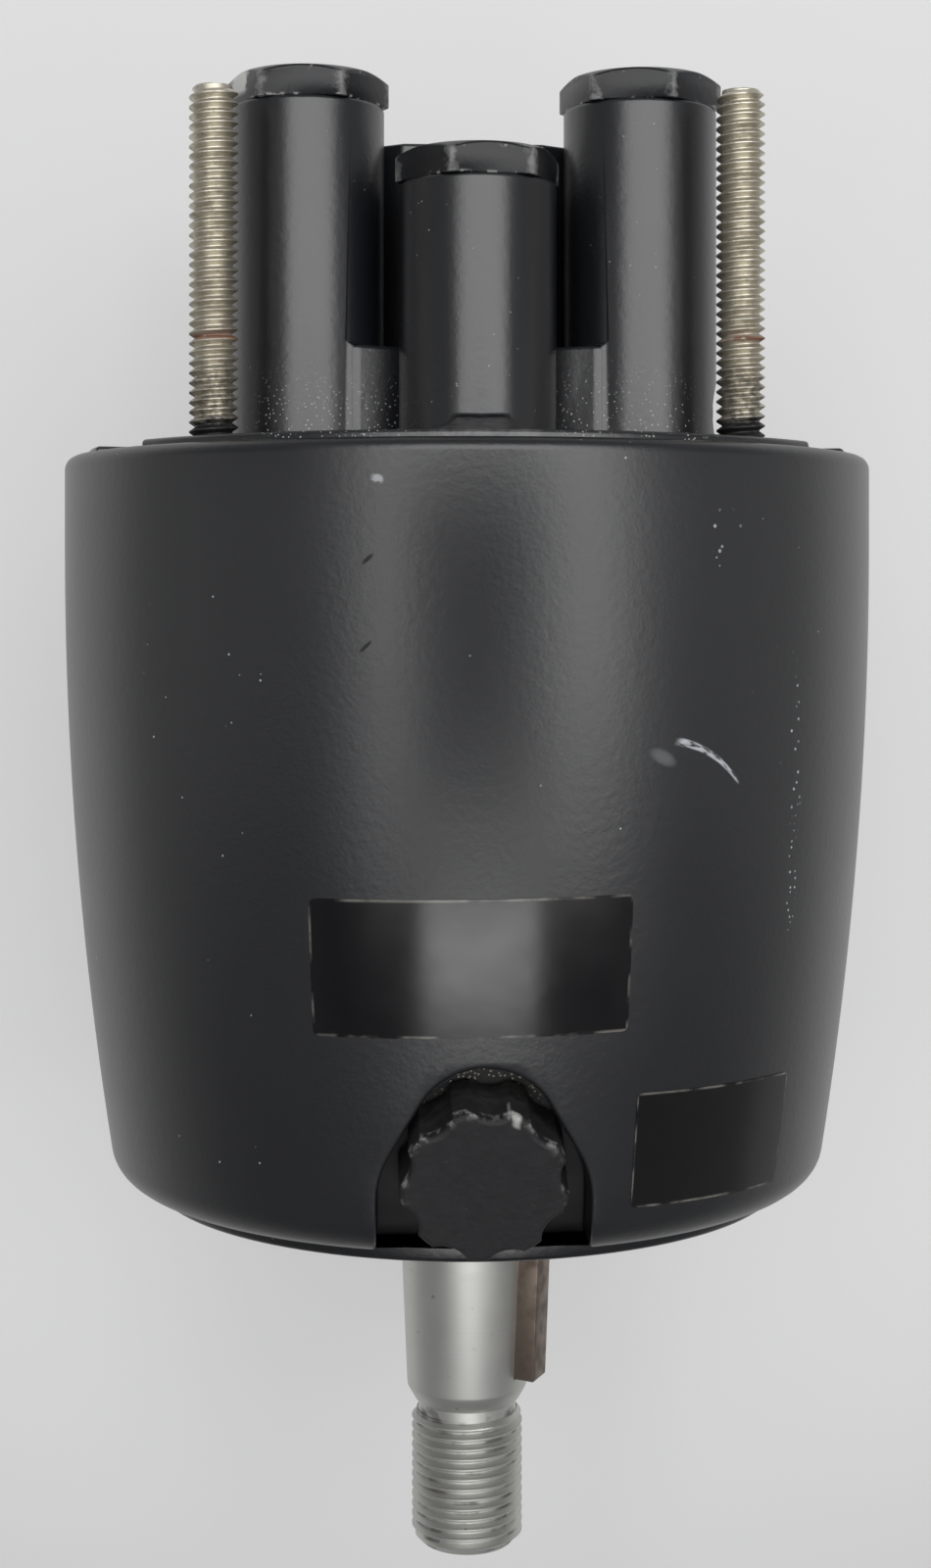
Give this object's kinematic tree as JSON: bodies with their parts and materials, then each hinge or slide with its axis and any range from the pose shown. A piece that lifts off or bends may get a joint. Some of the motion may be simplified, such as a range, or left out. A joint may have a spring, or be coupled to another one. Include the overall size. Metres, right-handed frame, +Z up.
{
  "type": "boat steering helm",
  "caption": "Round black hydraulic helm pump with a tapered keyed wheel shaft in front, dash studs and plugged valve towers behind, and a lobed filler cap on top.",
  "frame": {"origin": "on the helm axis, in the plane of the mounting pads", "axes": "+Y along the helm axis to the rear, where the studs and towers are; the wheel shaft points to -Y; +Z up, to the filler cap; +X to starboard"},
  "size_m": [0.1146, 0.2057, 0.1146],
  "materials": {
    "black_paint": "satin black paint over cast aluminium",
    "black_plastic": "moulded, worn at the edges",
    "bright_steel": "ground",
    "plated_steel": "plated, dulled",
    "rubber": "matte",
    "bronze": "machined bronze",
    "bare_alloy": "machined",
    "cast_iron": "honed"
  },
  "bodies": {
    "housing": {"barrel": "black_paint", "front_cover": "black_paint", "rear_block": "black_paint", "valve_block": "black_paint", "bush_cap": "black_paint", "hose_collar_port": "black_paint", "hose_collar_stbd": "black_paint", "rear_seal": "rubber", "lip_seal": "rubber", "rear_bush": "bronze", "valve_plate": "bronze", "stud_1": "plated_steel", "stud_2": "plated_steel", "stud_3": "plated_steel", "stud_4": "plated_steel", "rear_screw_1": "plated_steel", "rear_screw_2": "plated_steel", "rear_screw_3": "plated_steel", "rear_screw_4": "plated_steel", "cover_screw_1": "plated_steel", "cover_screw_2": "plated_steel", "cover_screw_3": "plated_steel", "cover_screw_4": "plated_steel", "plug_port": "black_paint", "plug_middle": "black_paint", "plug_stbd": "black_paint", "plug_seal_port": "rubber", "plug_seal_middle": "rubber", "plug_seal_stbd": "rubber", "check_seat_port": "bronze", "check_seat_stbd": "bronze", "spool_plug": "black_paint", "swash_block": "bare_alloy", "swash_pin_1": "bright_steel", "swash_pin_2": "bright_steel", "swash_race_fixed": "bright_steel", "bearing_outer": "bright_steel"},
    "wheel_shaft": {"shaft": "bright_steel", "shaft_key": "plated_steel", "rotor": "cast_iron", "rotor_key": "plated_steel", "rotor_ring": "plated_steel", "piston_1": "bright_steel", "piston_2": "bright_steel", "piston_3": "bright_steel", "piston_4": "bright_steel", "piston_5": "bright_steel", "piston_6": "bright_steel", "piston_7": "bright_steel", "piston_springs": "bright_steel", "bearing_inner": "bright_steel"},
    "swash_race": {"swash_race_moving": "bright_steel"},
    "swash_ball_cage": {"swash_cage": "bronze", "swash_balls": "bright_steel"},
    "bearing_ball_cage": {"bearing_cage": "bronze", "bearing_balls": "bright_steel"},
    "port_check": {"check_poppet_port": "bright_steel", "check_spring_port": "bright_steel"},
    "stbd_check": {"check_poppet_stbd": "bright_steel", "check_spring_stbd": "bright_steel"},
    "shuttle": {"shuttle_spool": "bright_steel"},
    "filler_lift": {"filler_seal": "rubber"},
    "filler_cap": {"filler_cap": "black_plastic"}
  },
  "joints": [
    {"name": "wheel_spin", "type": "hinge", "parent": "housing", "child": "wheel_shaft", "pos_m": [0, 0, 0], "axis": [0, -1, 0], "continuous": true},
    {"name": "swash_race_spin", "type": "hinge", "parent": "housing", "child": "swash_race", "pos_m": [0, -0.06386, 0], "axis": [0, -0.9511, 0.309], "continuous": true},
    {"name": "swash_cage_spin", "type": "hinge", "parent": "housing", "child": "swash_ball_cage", "pos_m": [0, -0.06386, 0], "axis": [0, -0.9511, 0.309], "continuous": true},
    {"name": "bearing_cage_spin", "type": "hinge", "parent": "housing", "child": "bearing_ball_cage", "pos_m": [0, 0, 0], "axis": [0, -1, 0], "continuous": true},
    {"name": "port_check_lift", "type": "slide", "parent": "housing", "child": "port_check", "axis": [0, 1, 0], "range_m": [0, 0.003], "stiffness_N_per_m": 400, "springref_m": -0.003},
    {"name": "stbd_check_lift", "type": "slide", "parent": "housing", "child": "stbd_check", "axis": [0, 1, 0], "range_m": [0, 0.003], "stiffness_N_per_m": 400, "springref_m": -0.003},
    {"name": "shuttle_slide", "type": "slide", "parent": "housing", "child": "shuttle", "axis": [1, 0, 0], "range_m": [-0.003, 0.003]},
    {"name": "filler_lift", "type": "slide", "parent": "housing", "child": "filler_lift", "axis": [0, -0.309, 0.9511], "range_m": [0, 0.012]},
    {"name": "filler_turn", "type": "hinge", "parent": "filler_lift", "child": "filler_cap", "pos_m": [0, -0.0933, 0.051], "axis": [0, -0.309, 0.9511], "range_deg": [0, 2161]}
  ],
  "couplings": [
    {"joint": "swash_race_spin", "follows": "wheel_spin", "ratio": 1},
    {"joint": "swash_cage_spin", "follows": "wheel_spin", "ratio": 0.5},
    {"joint": "bearing_cage_spin", "follows": "wheel_spin", "ratio": 0.3871},
    {"joint": "filler_turn", "follows": "filler_lift", "rad_per_m": 3141.6}
  ]
}
